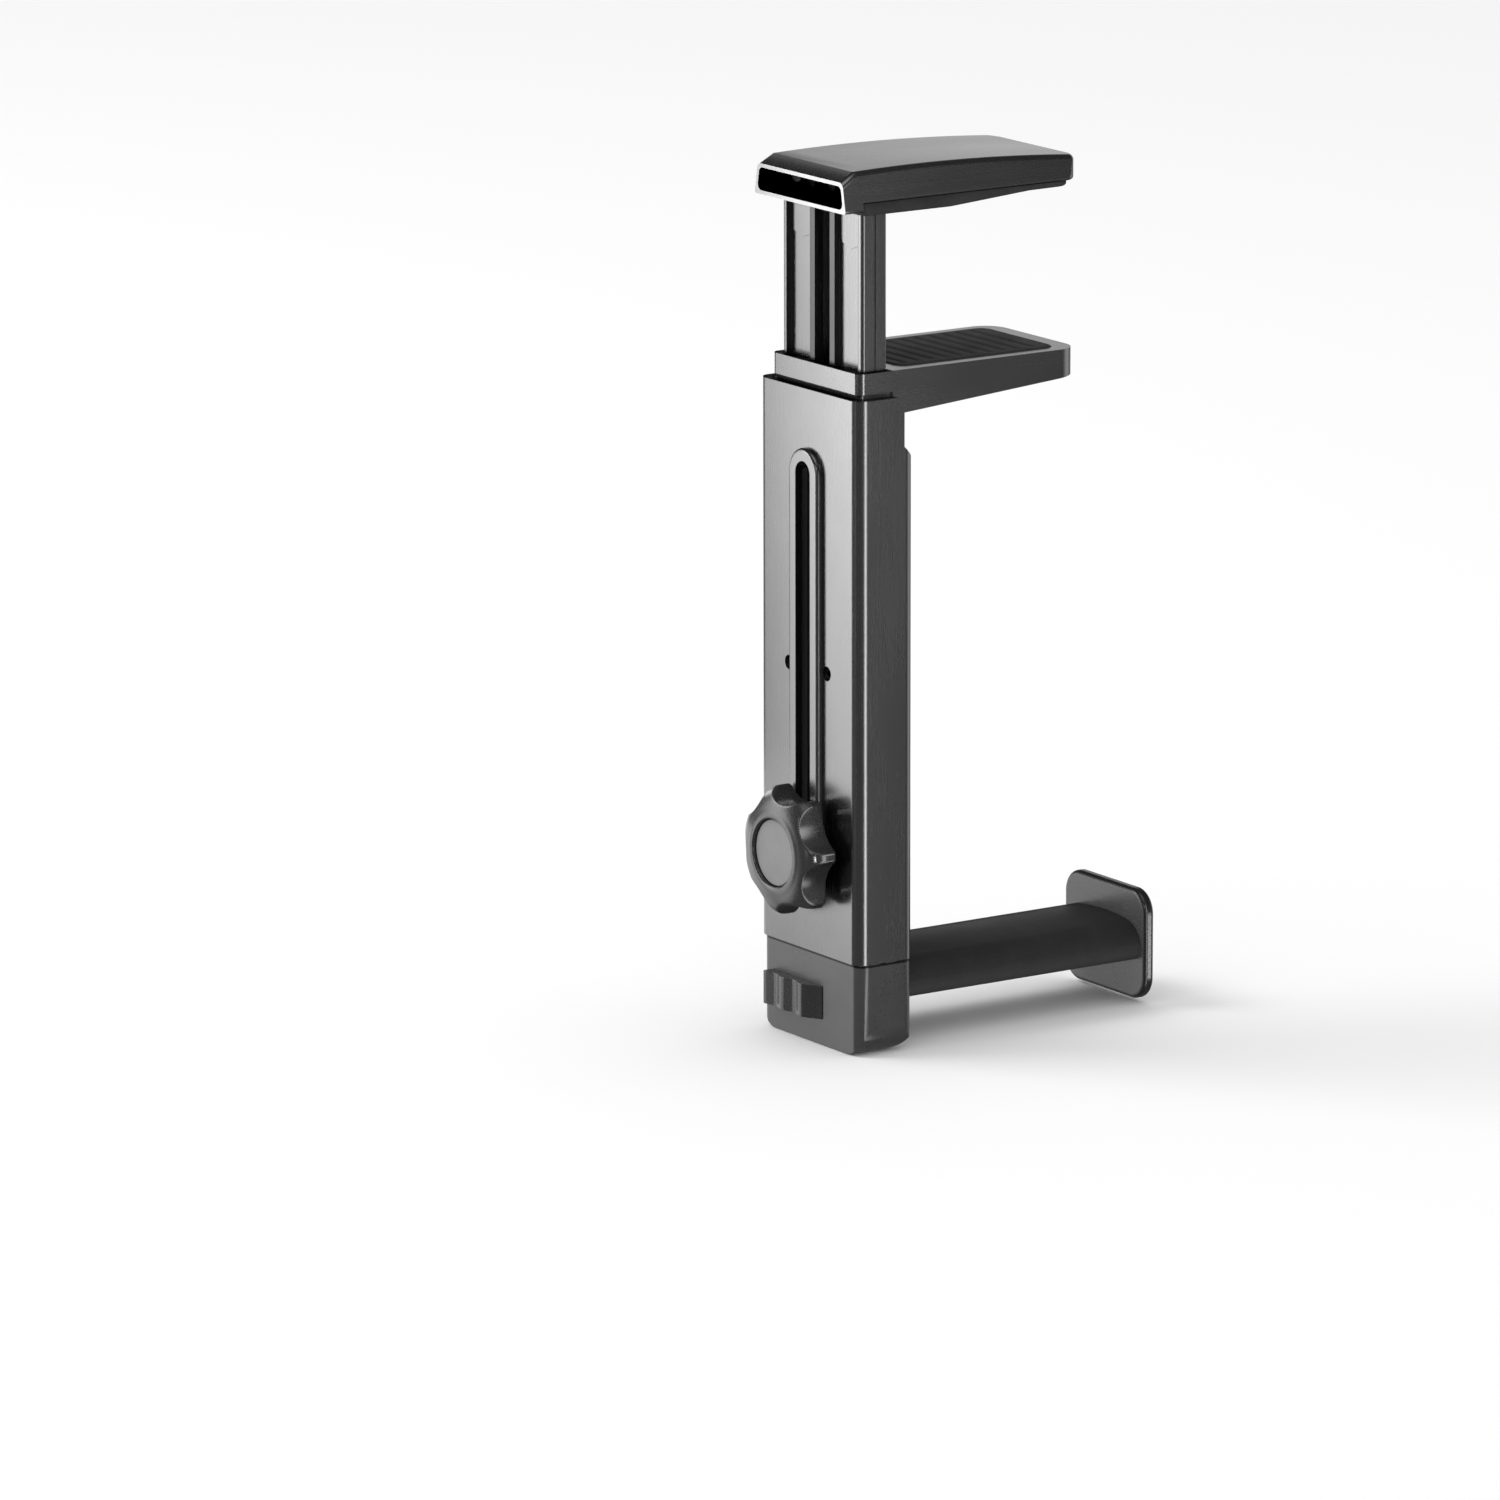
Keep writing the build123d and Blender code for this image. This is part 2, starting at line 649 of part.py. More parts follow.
with BuildPart() as end_cap:
    with BuildSketch(Plane.XY.offset(cap_bottom)):
        with Locations((0, (cap_front + body_back) / 2)):
            RectangleRounded(2 * cap_half, body_back - cap_front, body_corner)
    extrude(amount=cap_height)
    # Heel rounded in side view.
    with BuildSketch(Plane.YZ.offset(-cap_half)):
        with BuildLine():
            Polyline((body_back - cap_heel, cap_bottom), (cap_front, cap_bottom), (cap_front, cap_top),
                     (body_back, cap_top), (body_back, cap_bottom + cap_heel))
            RadiusArc((body_back, cap_bottom + cap_heel), (body_back - cap_heel, cap_bottom), cap_heel)
        make_face()
    extrude(amount=2 * cap_half, mode=Mode.INTERSECT)
    # Bottom corners rounded in front view.
    with BuildSketch(front_plane(cap_front)):
        with Locations((0, (cap_bottom + cap_top + cap_foot) / 2)):
            RectangleRounded(2 * cap_half, cap_height + cap_foot, cap_foot)
    extrude(amount=cap_front - body_back, mode=Mode.INTERSECT)
    # Pocket for the hinge and the latch, open at the top and at the back.
    box_between((-cap_pocket_half, cap_pocket_front, cap_pocket_floor),
                (cap_pocket_half, cap_pocket_back, cap_top + 1), Mode.SUBTRACT)
    box_between((-cap_pocket_half, cap_pocket_back - 1, carrier_floor_top),
                (cap_pocket_half, body_back + 1, cap_top + 1), Mode.SUBTRACT)
    # Tongue that plugs into the body.
    box_between((-arm_notch_half, cap_pocket_front, cap_top - 3),
                (arm_notch_half, cap_tongue_back, cap_tongue_top))
    # Window for the slider's stem.
    box_between((stem_low_x - 0.15, cap_front - 1, slider_low_z + stem_inset_z - 0.1),
                (stem_high_x + latch_travel + 0.15, cap_pocket_front + 1, slider_high_z - stem_inset_z + 0.1),
                Mode.SUBTRACT)
    for side in (-1, 1):
        rod((side * dowel_x, dowel_y, cap_top), (0, 0, -1), dowel_radius + press, dowel_in_cap + 0.2,
            Mode.SUBTRACT)
        seat = (side * carrier_screw_x, carrier_screw_y, cap_bottom)
        countersunk_head(seat, (0, 0, 1), carrier_screw_head + 0.1, carrier_screw_radius + press,
                         Mode.SUBTRACT)
        rod(seat, (0, 0, 1), carrier_screw_radius + press, cap_floor, Mode.SUBTRACT)
finish(end_cap, "end_cap")

with BuildPart() as cap_dowels:
    for side in (-1, 1):
        rod((side * dowel_x, dowel_y, cap_top - dowel_in_cap), (0, 0, 1), dowel_radius,
            dowel_in_cap + dowel_in_body)
finish(cap_dowels, "cap_dowels")

with BuildPart() as hinge_carrier:
    box_between((-cheek_half, carrier_front, cap_pocket_floor + fit),
                (cheek_half, cap_pocket_back - fit, carrier_top))
    box_between((-cheek_half, cap_pocket_back - 1, carrier_floor_top + fit),
                (cheek_half, carrier_cheek_back, carrier_top))
    box_between((-carrier_slot_half, stop_face, carrier_floor_top),
                (carrier_slot_half, body_back + 1, carrier_top + 1), Mode.SUBTRACT)
    rod((-cheek_half - 1, pivot_y, pivot_z), (1, 0, 0), pin_radius + press, 2 * cheek_half + 2, Mode.SUBTRACT)
    # Window for the latch nose.
    box_between((nose_low_x - 0.4, carrier_front - 1, nose_low_z - 0.2),
                (nose_high_x + latch_travel + 0.4, stop_face + 1, nose_high_z + 0.2), Mode.SUBTRACT)
    for side in (-1, 1):
        rod((side * carrier_screw_x, carrier_screw_y, cap_pocket_floor), (0, 0, 1),
            carrier_screw_radius + press, 3.0, Mode.SUBTRACT)
finish(hinge_carrier, "hinge_carrier")

with BuildPart() as carrier_screws:
    for side in (-1, 1):
        countersunk_screw((side * carrier_screw_x, carrier_screw_y, cap_bottom + fit), (0, 0, 1),
                          carrier_screw_head, carrier_screw_radius, carrier_screw_length)
finish(carrier_screws, "carrier_screws")

with BuildPart() as hinge_pin:
    rod((-cheek_half, pivot_y, pivot_z), (1, 0, 0), pin_radius, 2 * cheek_half)
    chamfer(hinge_pin.edges().filter_by(GeomType.CIRCLE), 0.2)
finish(hinge_pin, "hinge_pin")


# ---- Release slider, latch bolt and spring ----

with BuildPart() as release_slider:
    # Finger grip seen from above: steep left end, three ridges, two hollows, run-out to the right.
    grip_base = cap_front - fit
    grip_top = grip_base - slider_height
    with BuildSketch(Plane.XY.offset(slider_low_z)):
        with BuildLine():
            Line((slider_low_x, grip_base), (slider_low_x, grip_base - slider_end_height))
            Spline([(slider_low_x, grip_base - slider_end_height)]
                   + [(slider_low_x + along, grip_top + depth) for along, depth in slider_section]
                   + [(slider_high_x, grip_base - slider_end_rise)])
            Line((slider_high_x, grip_base - slider_end_rise), (slider_high_x, grip_base))
            Line((slider_high_x, grip_base), (slider_low_x, grip_base))
        make_face()
    extrude(amount=slider_high_z - slider_low_z)
    box_between((stem_low_x, grip_base - 0.1, slider_low_z + stem_inset_z),
                (stem_high_x, latch_front, slider_high_z - stem_inset_z))
    stem_middle = ((stem_low_x + stem_high_x) / 2, latch_front, latch_z)
    rod(stem_middle, (0, -1, 0), latch_screw_radius + press, 2.4, Mode.SUBTRACT)
finish(release_slider, "release_slider")

with BuildPart() as latch_bolt:
    box_between((latch_low_x, latch_front, latch_low_z), (latch_high_x, latch_back, latch_high_z))
    box_between((nose_low_x, latch_back, nose_low_z), (nose_high_x, root_face - nose_gap, nose_high_z))
    seat = (stem_middle[0], latch_back, latch_z)
    countersunk_head(seat, (0, -1, 0), latch_screw_head + 0.1, latch_screw_radius + press, Mode.SUBTRACT)
    rod(seat, (0, -1, 0), latch_screw_radius + press, latch_back - latch_front, Mode.SUBTRACT)
finish(latch_bolt, "latch_bolt")

with BuildPart() as latch_screw:
    countersunk_screw((stem_middle[0], latch_back - fit, latch_z), (0, -1, 0),
                      latch_screw_head, latch_screw_radius, latch_screw_length)
finish(latch_screw, "latch_screw")

with BuildPart() as latch_spring:
    spring_start = latch_high_x + spring_wire + fit
    spring_length = cap_pocket_half - spring_wire - fit - spring_start
    with BuildLine():
        coil = Helix(spring_length / spring_coils, spring_length, spring_radius,
                     center=(spring_start, latch_back, latch_z), direction=(1, 0, 0))
    with BuildSketch(Plane(origin=coil @ 0, z_dir=coil % 0)):
        Circle(spring_wire)
    sweep(is_frenet=True)
finish(latch_spring, "latch_spring")


# ---- Hook arm, bushes and end plate ----

with BuildPart() as hook_arm:
    # Cross-section with a lightly crowned top and round shoulders.
    with BuildSketch(front_plane(root_face)):
        with BuildLine():
            shoulder_z = arm_top - arm_shoulder
            ThreePointArc((-arm_half + arm_shoulder, arm_top - arm_crown), (0, arm_top),
                          (arm_half - arm_shoulder, arm_top - arm_crown))
            TangentArc((arm_half - arm_shoulder, arm_top - arm_crown), (arm_half, shoulder_z),
                       tangent=(1, -0.14))
            Polyline((arm_half, shoulder_z), (arm_half, arm_bottom), (-arm_half, arm_bottom),
                     (-arm_half, shoulder_z))
            TangentArc((-arm_half, shoulder_z), (-arm_half + arm_shoulder, arm_top - arm_crown),
                       tangent=(0, 1))
        make_face()
    extrude(amount=root_face - arm_end)
    fillet(hook_arm.edges().filter_by(Axis.Y).group_by(Axis.Z)[0], arm_foot)
    # Root rounded about the pivot so that it clears the carrier's stop.
    with BuildSketch(Plane.YZ.offset(-arm_half)):
        with BuildLine():
            Polyline((root_face, pivot_z), (root_face, arm_bottom - 1), (arm_end, arm_bottom - 1),
                     (arm_end, arm_top + 0.01), (pivot_y, arm_top + 0.01))
            ThreePointArc((pivot_y, arm_top + 0.01),
                          (pivot_y - eye_radius * cos(pi / 4), pivot_z + eye_radius * sin(pi / 4)),
                          (root_face, pivot_z))
        make_face()
    extrude(amount=2 * arm_half, mode=Mode.INTERSECT)
    for side in (-1, 1):
        rod((side * arm_half, pivot_y, pivot_z), (-side, 0, 0), bush_radius + press, bush_length,
            Mode.SUBTRACT)
        rod((side * end_screw_x, arm_end, arm_middle), (0, -1, 0), end_screw_radius + press,
            end_screw_length, Mode.SUBTRACT)
    rod((-arm_half, pivot_y, pivot_z), (1, 0, 0), pin_radius + 0.1, 2 * arm_half, Mode.SUBTRACT)
finish(hook_arm, "hook_arm")

with BuildPart() as hinge_bushes:
    for side in (-1, 1):
        end = (side * arm_half, pivot_y, pivot_z)
        rod(end, (-side, 0, 0), bush_radius, bush_length)
        rod(end, (-side, 0, 0), pin_radius + 0.04, bush_length, Mode.SUBTRACT)
finish(hinge_bushes, "hinge_bushes")

with BuildPart() as end_plate:
    with BuildSketch(front_plane(arm_end)):
        with Locations((0, (end_plate_top + end_plate_bottom) / 2)):
            RectangleRounded(2 * end_plate_half, end_plate_top - end_plate_bottom, end_plate_corner)
    extrude(amount=-end_plate_thickness)
    fillet(end_plate.faces().sort_by(Axis.Y)[0].edges(), end_plate_edge)
    fillet(end_plate.faces().sort_by(Axis.Y)[-1].edges(), end_plate_edge)
    for side in (-1, 1):
        seat = (side * end_screw_x, arm_end + end_plate_thickness, arm_middle)
        countersunk_head(seat, (0, -1, 0), end_screw_head + 0.1, end_screw_radius + press, Mode.SUBTRACT)
        rod(seat, (0, -1, 0), end_screw_radius + press, end_plate_thickness, Mode.SUBTRACT)
finish(end_plate, "end_plate")

with BuildPart() as end_plate_screws:
    for side in (-1, 1):
        head = (side * end_screw_x, arm_end + end_plate_thickness - fit, arm_middle)
        countersunk_screw(head, (0, -1, 0), end_screw_head, end_screw_radius, end_screw_length)
finish(end_plate_screws, "end_plate_screws")
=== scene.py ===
import math

import bmesh
import bpy
from mathutils import Matrix, Vector


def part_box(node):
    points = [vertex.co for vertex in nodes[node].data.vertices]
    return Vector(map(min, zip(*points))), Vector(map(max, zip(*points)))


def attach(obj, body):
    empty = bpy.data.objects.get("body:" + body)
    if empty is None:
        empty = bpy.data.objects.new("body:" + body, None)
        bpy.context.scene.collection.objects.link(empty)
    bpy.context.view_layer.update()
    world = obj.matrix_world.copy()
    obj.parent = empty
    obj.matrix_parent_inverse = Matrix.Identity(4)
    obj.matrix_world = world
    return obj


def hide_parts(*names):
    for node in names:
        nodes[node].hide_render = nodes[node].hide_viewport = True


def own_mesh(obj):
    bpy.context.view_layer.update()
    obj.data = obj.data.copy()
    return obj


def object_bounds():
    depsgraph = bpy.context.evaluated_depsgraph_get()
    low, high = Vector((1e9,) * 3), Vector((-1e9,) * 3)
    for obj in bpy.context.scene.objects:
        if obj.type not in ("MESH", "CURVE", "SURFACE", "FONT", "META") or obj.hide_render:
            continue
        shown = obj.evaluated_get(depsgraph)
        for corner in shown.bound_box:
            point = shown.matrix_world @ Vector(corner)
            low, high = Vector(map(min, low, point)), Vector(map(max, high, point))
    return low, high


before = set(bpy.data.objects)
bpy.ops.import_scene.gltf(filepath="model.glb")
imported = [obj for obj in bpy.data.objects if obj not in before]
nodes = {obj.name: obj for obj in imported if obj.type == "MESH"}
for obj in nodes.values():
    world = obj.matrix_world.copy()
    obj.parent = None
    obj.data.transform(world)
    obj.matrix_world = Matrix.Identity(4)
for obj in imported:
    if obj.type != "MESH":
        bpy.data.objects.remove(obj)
cad_low, cad_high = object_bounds()
scene = bpy.context.scene
MM = 0.001


def box_mm(name):
    """Low and high corner of a CAD node, in millimetres."""
    low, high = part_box(name)
    return low / MM, high / MM


body_low, body_high = box_mm("main_body")
collar_low, collar_high = box_mm("lower_jaw")
rail_low, rail_high = box_mm("rail")
jaw_low = box_mm("upper_jaw")[0]
low_pad_low, low_pad_high = box_mm("lower_jaw_pad")
high_pad_low, high_pad_high = box_mm("upper_jaw_pad")
DESK_TOP = high_pad_low.z


# ---- Node helpers ----

class Tree:
    """A short way to write shader nodes."""

    def __init__(self, tree):
        self.tree = tree
        tree.nodes.clear()

    def add(self, kind, inputs=None, **settings):
        node = self.tree.nodes.new("ShaderNode" + kind)
        for key, value in settings.items():
            setattr(node, key, value)
        for key, value in (inputs or {}).items():
            self.plug(node, key, value)
        return node

    def plug(self, node, key, value):
        """Links a node or socket to an input, or sets the input to a number, vector or colour."""
        socket = node.inputs[key]
        if isinstance(value, bpy.types.Node):
            value = value.outputs[0]
        if isinstance(value, bpy.types.NodeSocket):
            self.tree.links.new(value, socket)
        elif isinstance(value, tuple) and socket.type == "RGBA":
            socket.default_value = value + (1,)
        else:
            socket.default_value = value

    def compute(self, operation, a, b):
        return self.add("Math", {0: a, 1: b}, operation=operation)

    def product(self, first, *others):
        for factor in others:
            first = self.compute("MULTIPLY", first, factor)
        return first

    def noise(self, vector, scale, detail, roughness):
        return self.add("TexNoise", {"Vector": vector, "Scale": scale, "Detail": detail,
                                     "Roughness": roughness})

    def stretch(self, vector, x, y, z):
        return self.add("Mapping", {"Vector": vector, "Scale": (x, y, z)}, vector_type="POINT")

    def remap(self, value, low, high, to_low, to_high, smooth=False):
        ends = {"Value": value, "From Min": low, "From Max": high, "To Min": to_low, "To Max": to_high}
        return self.add("MapRange", ends, interpolation_type="SMOOTHSTEP" if smooth else "LINEAR")

    def blend(self, share, a, b):
        """The colour a at share 0 and b at share 1."""
        return self.add("Mix", {0: share, 6: a, 7: b}, data_type="RGBA").outputs[2]

    def choose(self, share, a, b):
        """The number a at share 0 and b at share 1."""
        return self.add("Mix", {0: share, 2: a, 3: b}, data_type="FLOAT").outputs[0]

    def scaled(self, colour, factor):
        return self.add("VectorMath", {0: colour, "Scale": factor}, operation="SCALE").outputs[0]

    def dot(self, a, b):
        return self.add("VectorMath", {0: a, 1: b}, operation="DOT_PRODUCT").outputs["Value"]

    def along(self, axis, vector):
        return self.add("SeparateXYZ", {0: vector}).outputs[axis]


def new_material(name):
    """A material, and the Tree that writes its nodes."""
    material = bpy.data.materials.new(name)
    material.use_nodes = True
    return material, Tree(material.node_tree)


def grey(value, warmth=0.0):
    return (value * (1 + warmth), value, value * (1 - warmth))


def worn_edge(tree, place, radius, wear):
    """How worn the surface is: edges that turn within the radius, broken up by noise."""
    bevel = tree.add("Bevel", {"Radius": radius * MM}, samples=6)
    facing = tree.dot(bevel, tree.add("NewGeometry").outputs["Normal"])
    edge = tree.remap(facing, 0.995, 0.90, 0.0, 1.0, smooth=True)
    broken = tree.remap(tree.noise(place, 700.0, 5.0, 0.7), 0.42, 0.62, 0.15, 1.0)
    return tree.product(edge, broken, wear)


def facing_front_share(tree, place, limit):
    """1 on faces that look to the front and lie ahead of y = limit, in metres."""
    ahead = tree.compute("LESS_THAN", tree.along("Y", place), limit)
    normal = tree.along("Y", tree.add("NewGeometry").outputs["True Normal"])
    return tree.product(ahead, tree.remap(normal, -0.80, -0.97, 0.0, 1.0))


def zone(share, x, y, z):
    """A box, given by its ranges in millimetres, in which a finish keeps this share of its brightness."""
    return share, {"X": x, "Y": y, "Z": z}


def brightness_in(tree, place, zones):
    """The share of brightness that the zones leave at each place."""
    kept = 1.0
    for share, ranges in zones:
        tests = []
        for axis, (low, high) in ranges.items():
            middle, reach = (low + high) / 2 * MM, (high - low) / 2 * MM
            test = {0: tree.along(axis, place), 1: middle, 2: reach}
            tests.append(tree.add("Math", test, operation="COMPARE"))
        kept = tree.product(kept, tree.remap(tree.product(*tests), 0, 1, 1.0, share))
    return kept


def surface(name, base, metallic, roughness, wear, wear_tone, wear_radius=0.25, grain=(1, 1, 1),
            grain_scale=900.0, grain_depth=0.02, mottle=0.12, mottle_scale=160.0, roughness_spread=0.08,
            pits=0.0, pits_scale=2500.0, cut_and_lit_front_tone=None, front_limit=None, specular=0.5, painted_hollow_shade=0.0,
            zones=()):
    """Procedural finish: grain and pits in the bump, mottled colour and roughness, worn edges.

    The front tone is the colour of cut faces and, on the end plate, a painted reflection on its front; the
    hollow setting paints shade into hollows, and zones darken parts of a node, most of them as painted
    shade.
    """
    material, tree = new_material(name)
    place = tree.add("TexCoord").outputs["Object"]
    fine = tree.noise(tree.stretch(place, *grain), grain_scale, 4.0, 0.6)
    broad = tree.noise(place, mottle_scale, 4.0, 0.6)
    softened = [0.35 + 0.65 * stretch for stretch in grain]
    cloudy = tree.noise(tree.stretch(place, *softened), mottle_scale * 0.35, 2.0, 0.5)
    fine_mottle = mottle * 0.7
    tone = tree.product(tree.remap(broad, 0.3, 0.7, 1 - mottle, 1 + mottle),
                        tree.remap(fine, 0.25, 0.75, 1 - fine_mottle, 1 + fine_mottle))
    colour = tree.scaled(base, tone)
    fine_spread = roughness_spread * 0.5
    rough = tree.compute(
        "ADD", tree.remap(cloudy, 0.3, 0.7, roughness - roughness_spread, roughness + roughness_spread),
        tree.remap(fine, 0.3, 0.7, -fine_spread, fine_spread))
    edge = worn_edge(tree, place, wear_radius, wear)
    colour = tree.blend(edge, colour, wear_tone)
    rough = tree.compute("SUBTRACT", rough, tree.product(edge, 0.08))
    # Cut faces take the bare front tone; the end plate takes it on every front face as a painted
    # reflection.
    if cut_and_lit_front_tone:
        saw = tree.noise(tree.stretch(place, 0.12, 1, 1), 2600.0, 3.0, 0.6)
        cut_and_lit_colour = tree.scaled(cut_and_lit_front_tone, tree.remap(saw, 0.3, 0.7, 0.88, 1.1))
        colour = tree.blend(facing_front_share(tree, place, front_limit), colour, cut_and_lit_colour)
    # Painted shade: ambient occlusion darkens the colour in hollows.
    if painted_hollow_shade:
        hollow = tree.add("AmbientOcclusion", {"Distance": 4.0 * MM}, samples=6)
        colour = tree.scaled(colour, tree.remap(hollow.outputs["AO"], 0.15, 0.75, 1 - painted_hollow_shade, 1.0))
    # Zones darken the colour in their boxes, most of them as painted shade.
    kept = brightness_in(tree, place, zones)
    if zones:
        colour = tree.scaled(colour, kept)
    height = tree.product(fine, grain_depth)
    if pits:
        cells = tree.add("TexVoronoi", {"Vector": place, "Scale": pits_scale, "Randomness": 1.0})
        height = tree.compute("ADD", height, tree.product(cells.outputs["Distance"], pits))
    bump = tree.add("Bump", {"Height": height, "Distance": MM, "Strength": 1.0})
    # A metal's tint is kept down with its colour, or it would shine at grazing angles, so the zones'
    # painted shade dims its reflections too.
    tint = kept if zones else (1.0, 1.0, 1.0)
    shader = tree.add("BsdfPrincipled", {"Base Color": colour, "Metallic": metallic, "Roughness": rough,
                                         "Normal": bump, "Specular IOR Level": specular,
                                         "Specular Tint": tint})
    tree.add("OutputMaterial", {"Surface": shader})
    return material


# ---- Places kept dark, most of them painted shade ----

ACROSS = (-20.0, 20.0)
THROUGH = (-9.0, 9.0)
collar_side = collar_high.x - 0.1
above_body = (body_high.z - 0.1, body_high.z + 0.8)
collar_front = collar_low.y - 1.0
jaw_mouth = (jaw_low.y + 0.12, -6.0)

# Painted shade on the body's top face at the foot of the collar, half as deep right of the collar.
painted_shade_body_top = [
    zone(0.12, (ACROSS[0], collar_side), THROUGH, above_body),
    zone(0.5, (collar_side, ACROSS[1]), THROUGH, above_body),
]
# Painted shade in the groove at the collar's foot and on the collar's top face.
painted_shade_collar = [
    zone(0.25, (ACROSS[0], collar_high.x - 0.7), (collar_front, 0.45),
         (body_high.z - 0.02, body_high.z + 0.72)),
    zone(0.15, ACROSS, (collar_front, 0.4), (collar_high.z - 0.07, collar_high.z + 0.25)),
]
# The rail's front lands are darkened, and painted shade keeps the rail nearly black where it runs up
# inside the jaw.
rail_lands = [
    zone(0.45, (-11.6, 11.6), (rail_low.y - 0.1, rail_low.y + 0.15), (rail_low.z - 1.0, DESK_TOP + 2.0)),
    zone(0.05, ACROSS, THROUGH, (DESK_TOP + 1.0, DESK_TOP + 10.0)),
]
# Painted contact shadow on the cap's top, just under the body.
painted_cap_joint_shadow = [zone(0.15, ACROSS, THROUGH, (body_low.z - 0.6, body_low.z))]
# Painted shade on the steel fittings inside the jaw's cavity.
painted_jaw_cavity_shade = [zone(0.08, ACROSS, (-9.5, 20.0), (DESK_TOP + 1.0, DESK_TOP + 8.0))]
# Painted shade on the faces inside the upper jaw's mouth.
painted_shade_in_jaw = [
    zone(0.06, (-13.6, 13.6), jaw_mouth, (DESK_TOP + 1.3, DESK_TOP + 5.8)),
    zone(0.06, (-14.1, 14.1), jaw_mouth, (DESK_TOP + 1.3, DESK_TOP + 3.0)),
    zone(0.06, (-13.1, 13.1), (-7.5, 27.5), (DESK_TOP + 2.6, DESK_TOP + 7.2)),
]


# ---- Finishes ----

ALONG_Z = (1, 1, 0.012)
ALONG_Y = (1, 0.012, 1)
# A front limit, in metres, that every face lies ahead of.
EVERYWHERE = 1.0
anodised = dict(base=grey(0.235), metallic=1.0, roughness=0.27, grain_scale=4200.0, grain_depth=0.0014,
                mottle=0.02, roughness_spread=0.02, wear=0.30, wear_tone=grey(0.5), wear_radius=0.22)
moulded = dict(metallic=0.0, grain_scale=1800.0)
# The fittings get painted shade in their hollows.
fittings = dict(metallic=1.0, painted_hollow_shade=0.92, wear=0.4)
# The zone lists below paint shade onto parts of these finishes.
finishes = {
    "anodised_aluminium": surface("anodised_upright", grain=ALONG_Z, zones=painted_shade_body_top, **anodised),
    "anodised_reach": surface("anodised_reach", grain=ALONG_Y, zones=painted_shade_collar, **anodised),
    "anodised_rail": surface("anodised_rail", grain=ALONG_Z, zones=rail_lands, **anodised),
    "bare_edge_aluminium": surface(
        "anodised_cut_edge", grain=ALONG_Y, cut_and_lit_front_tone=grey(0.33), front_limit=(jaw_low.y + 0.08) * MM,
        zones=painted_shade_in_jaw, **anodised),
    "black_plastic": surface(
        "moulded_plastic", grey(0.014), roughness=0.34, specular=0.7, grain_depth=0.004, mottle=0.10,
        roughness_spread=0.05, wear=0.25, wear_tone=grey(0.06), pits=0.012, **moulded),
    "cap_plastic": surface(
        "cap_plastic", grey(0.042), roughness=0.30, specular=1.0, grain_depth=0.003, mottle=0.12,
        roughness_spread=0.04, wear=0.3, wear_tone=grey(0.09), pits=0.006, zones=painted_cap_joint_shadow, **moulded),
    "arm_plastic": surface(
        "arm_plastic", grey(0.022), roughness=0.60, specular=0.15, grain_depth=0.004, mottle=0.12,
        roughness_spread=0.05, wear=0.3, wear_tone=grey(0.07), pits=0.012, **moulded),
    # The end plate's lighter front faces are a painted reflection.
    "plate_plastic": surface(
        "plate_plastic", grey(0.010), roughness=0.26, specular=0.8, grain_depth=0.003, mottle=0.08,
        roughness_spread=0.04, wear=0.2, wear_tone=grey(0.05), pits=0.004, cut_and_lit_front_tone=grey(0.085),
        front_limit=EVERYWHERE, **moulded),
    "knob_plastic": surface(
        "knob_plastic", grey(0.022), 0.0, 0.25, specular=1.0, grain_scale=2600.0, grain_depth=0.002,
        mottle=0.12, roughness_spread=0.05, wear=0.2, wear_tone=grey(0.07), pits=0.003, pits_scale=3500.0),
    "disc_plastic": surface(
        "disc_plastic", grey(0.20), 0.0, 0.45, grain_scale=2600.0, grain_depth=0.006, mottle=0.08,
        roughness_spread=0.06, wear=0.3, wear_tone=grey(0.3), pits=0.006),
    "rubber_pad": surface(
        "rubber", grey(0.028), 0.0, 0.72, specular=0.35, grain_scale=1500.0, grain_depth=0.02, mottle=0.2,
        roughness_spread=0.1, wear=0.25, wear_tone=grey(0.08), pits=0.03, pits_scale=1800.0),
    "steel": surface(
        "plated_steel", grey(0.52, 0.01), roughness=0.3, grain_scale=1800.0, grain_depth=0.006,
        mottle=0.1, wear_tone=grey(0.75), zones=painted_jaw_cavity_shade, **fittings),
    "zinc": surface(
        "cast_zinc", (0.40, 0.41, 0.43), roughness=0.46, grain_scale=700.0, grain_depth=0.03, mottle=0.14,
        mottle_scale=300.0, roughness_spread=0.1, wear_tone=grey(0.6), pits=0.02, pits_scale=900.0,
        **fittings),
    # Black steel gets painted shade in its hollows and inside the jaw.
    "black_steel": surface(
        "black_steel", grey(0.075), 1.0, 0.38, grain_scale=1600.0, grain_depth=0.008, mottle=0.15,
        wear=0.6, wear_tone=grey(0.3), painted_hollow_shade=0.9, zones=painted_jaw_cavity_shade),
    "brass": surface(
        "brass", (0.62, 0.44, 0.17), 1.0, 0.3, grain_scale=1500.0, grain_depth=0.006, mottle=0.1,
        wear=0.3, wear_tone=(0.8, 0.62, 0.3)),
    "bronze": surface(
        "sintered_bronze", (0.42, 0.25, 0.12), 1.0, 0.45, grain_scale=1500.0, grain_depth=0.015,
        mottle=0.18, wear=0.3, wear_tone=(0.6, 0.4, 0.22), pits=0.02),
}

# Nodes whose finish isn't the plain one of their material slot.
special = {"lower_jaw": "anodised_reach", "rail": "anodised_rail", "rail_keepers": "anodised_rail",
           "hook_arm": "arm_plastic", "end_plate": "plate_plastic", "end_cap": "cap_plastic"}
for name, node in nodes.items():
    slot = node.data.materials[0].name.split(".")[0]
    node.data.materials.clear()
    node.data.materials.append(finishes[special.get(name, slot)])


# ---- Softened edges on the CAD nodes ----

